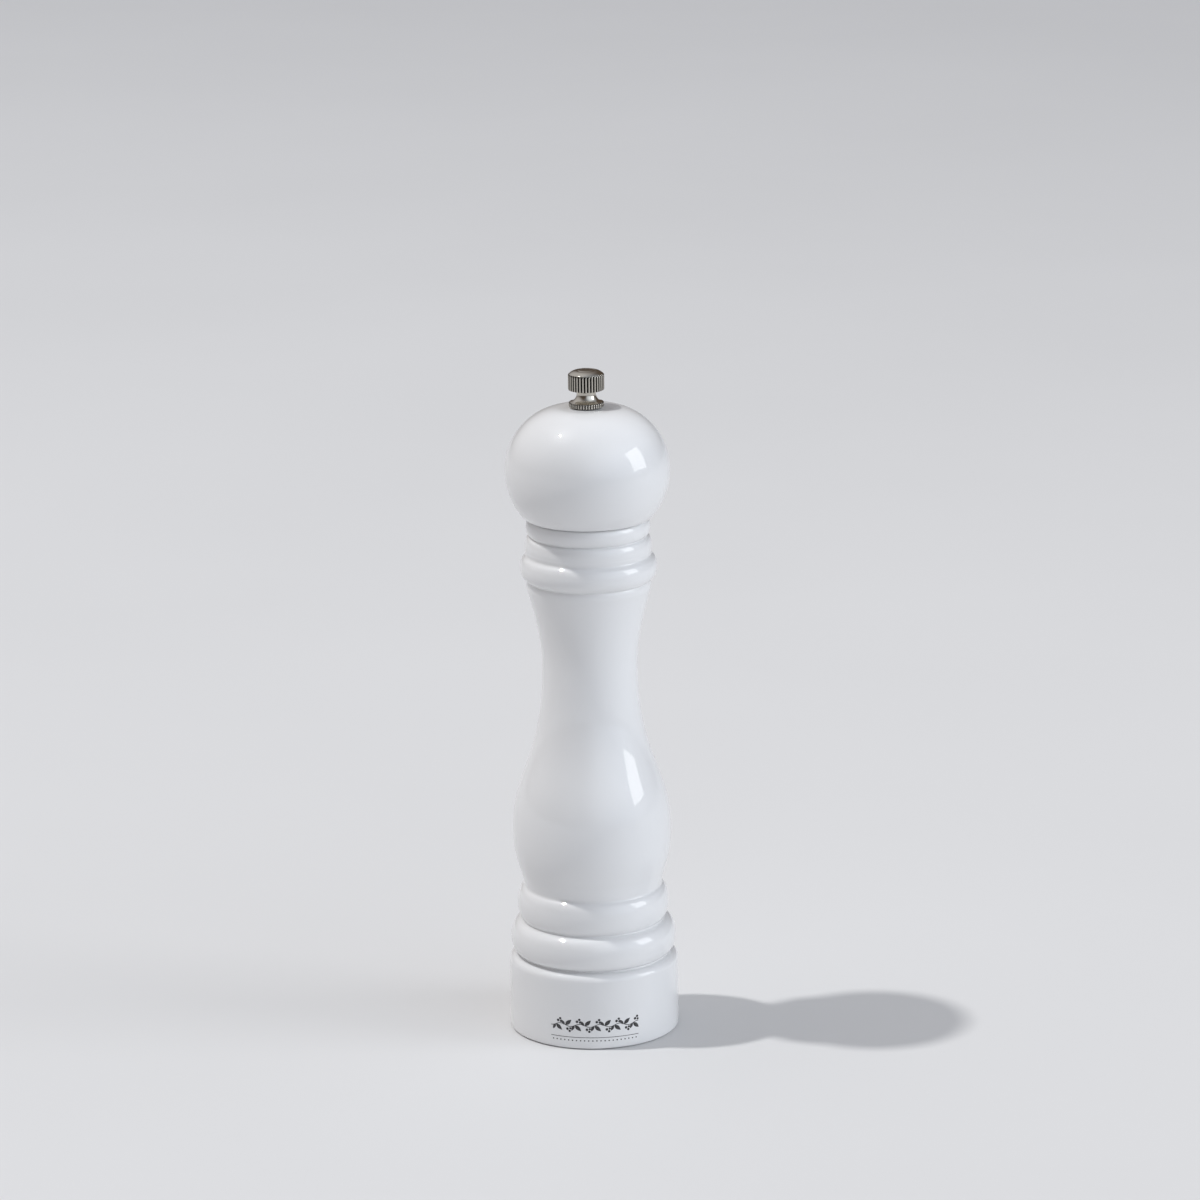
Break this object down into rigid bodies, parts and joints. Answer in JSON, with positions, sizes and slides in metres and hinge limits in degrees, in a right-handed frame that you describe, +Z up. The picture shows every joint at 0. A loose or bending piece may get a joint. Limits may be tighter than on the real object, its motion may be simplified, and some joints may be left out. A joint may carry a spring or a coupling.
{
  "type": "pepper mill",
  "caption": "Turned wooden pepper mill in white lacquer: a rounded head turns on a waisted body and drives a ceramic grinder, with a fluted nickel knob on top.",
  "frame": {"origin": "centre of the flat foot, on the surface that the mill stands on", "axes": "+Z up along the turning axis, towards the knob; -Y is the front"},
  "size_m": [0.058, 0.058, 0.2305],
  "materials": {
    "lacquer": "beech turned smooth under a glossy cool-white lacquer",
    "nickel": "polished nickel plate",
    "shaft_aluminium": "drawn square bar, satin",
    "plate_steel": "stamped plate, zinc plated",
    "screw_steel": "zinc plated screws",
    "spring_steel": "bright spring wire",
    "nylon": "moulded black nylon",
    "ceramic": "unglazed off-white ceramic"
  },
  "bodies": {
    "base_body": {"body": "lacquer", "grinder_housing": "nylon", "outer_burr": "ceramic", "retaining_plate": "plate_steel", "retaining_plate_screw_1": "screw_steel", "retaining_plate_screw_2": "screw_steel", "retaining_plate_screw_3": "screw_steel"},
    "spindle_seat": {"spring_washer": "nylon", "spring": "spring_steel"},
    "rotor": {"shaft": "shaft_aluminium", "rotor_hub": "nylon", "inner_burr": "ceramic", "thrust_washer": "plate_steel", "retaining_clip": "spring_steel"},
    "head_turn": {"head": "lacquer", "drive_plate": "plate_steel", "drive_plate_screw_1": "screw_steel", "drive_plate_screw_2": "screw_steel", "drive_plate_screw_3": "screw_steel"},
    "knob_cap": {"knob": "nickel"}
  },
  "joints": [
    {"name": "grind_turn", "type": "hinge", "parent": "base_body", "child": "spindle_seat", "pos_m": [0, 0, 0.0377], "axis": [0, 0, 1], "continuous": true},
    {"name": "grind_adjust", "type": "slide", "parent": "spindle_seat", "child": "rotor", "axis": [0, 0, 1], "range_m": [-0.0016, 0.0006], "deforming": ["spring"]},
    {"name": "head_lift", "type": "slide", "parent": "spindle_seat", "child": "head_turn", "axis": [0, 0, 1], "range_m": [0, 0.07]},
    {"name": "knob_turn", "type": "hinge", "parent": "head_turn", "child": "knob_cap", "pos_m": [0, 0, 0.2246], "axis": [0, 0, 1], "range_deg": [-271, 721]}
  ],
  "couplings": [
    {"joint": "knob_turn", "follows": "grind_adjust", "rad_per_m": -7854}
  ]
}
